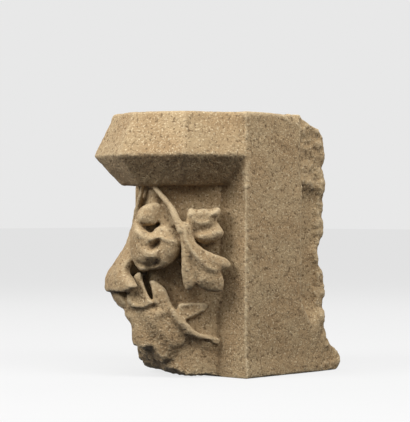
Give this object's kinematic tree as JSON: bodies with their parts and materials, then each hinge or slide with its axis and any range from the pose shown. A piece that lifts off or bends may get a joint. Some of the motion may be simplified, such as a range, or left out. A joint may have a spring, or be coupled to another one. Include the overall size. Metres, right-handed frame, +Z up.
{
  "type": "carved corbel stone",
  "caption": "Carved stone end of a wall block: half octagon moulded cap over a bell of hanging and curled leaves, flat beds above and below, broken tail.",
  "frame": {"origin": "under the middle of the stone's box, on its lower bed", "axes": "+Z up, from the lower bed to the top bed; +X along the wall, from the carved end to the broken tail; +Y through the wall, towards the joint face"},
  "size_m": [0.4156, 0.267, 0.45],
  "materials": {
    "weathered_sandstone": "matt, grainy, weathered"
  },
  "bodies": {
    "root": {"carved_corbel_stone": "weathered_sandstone"}
  },
  "joints": []
}
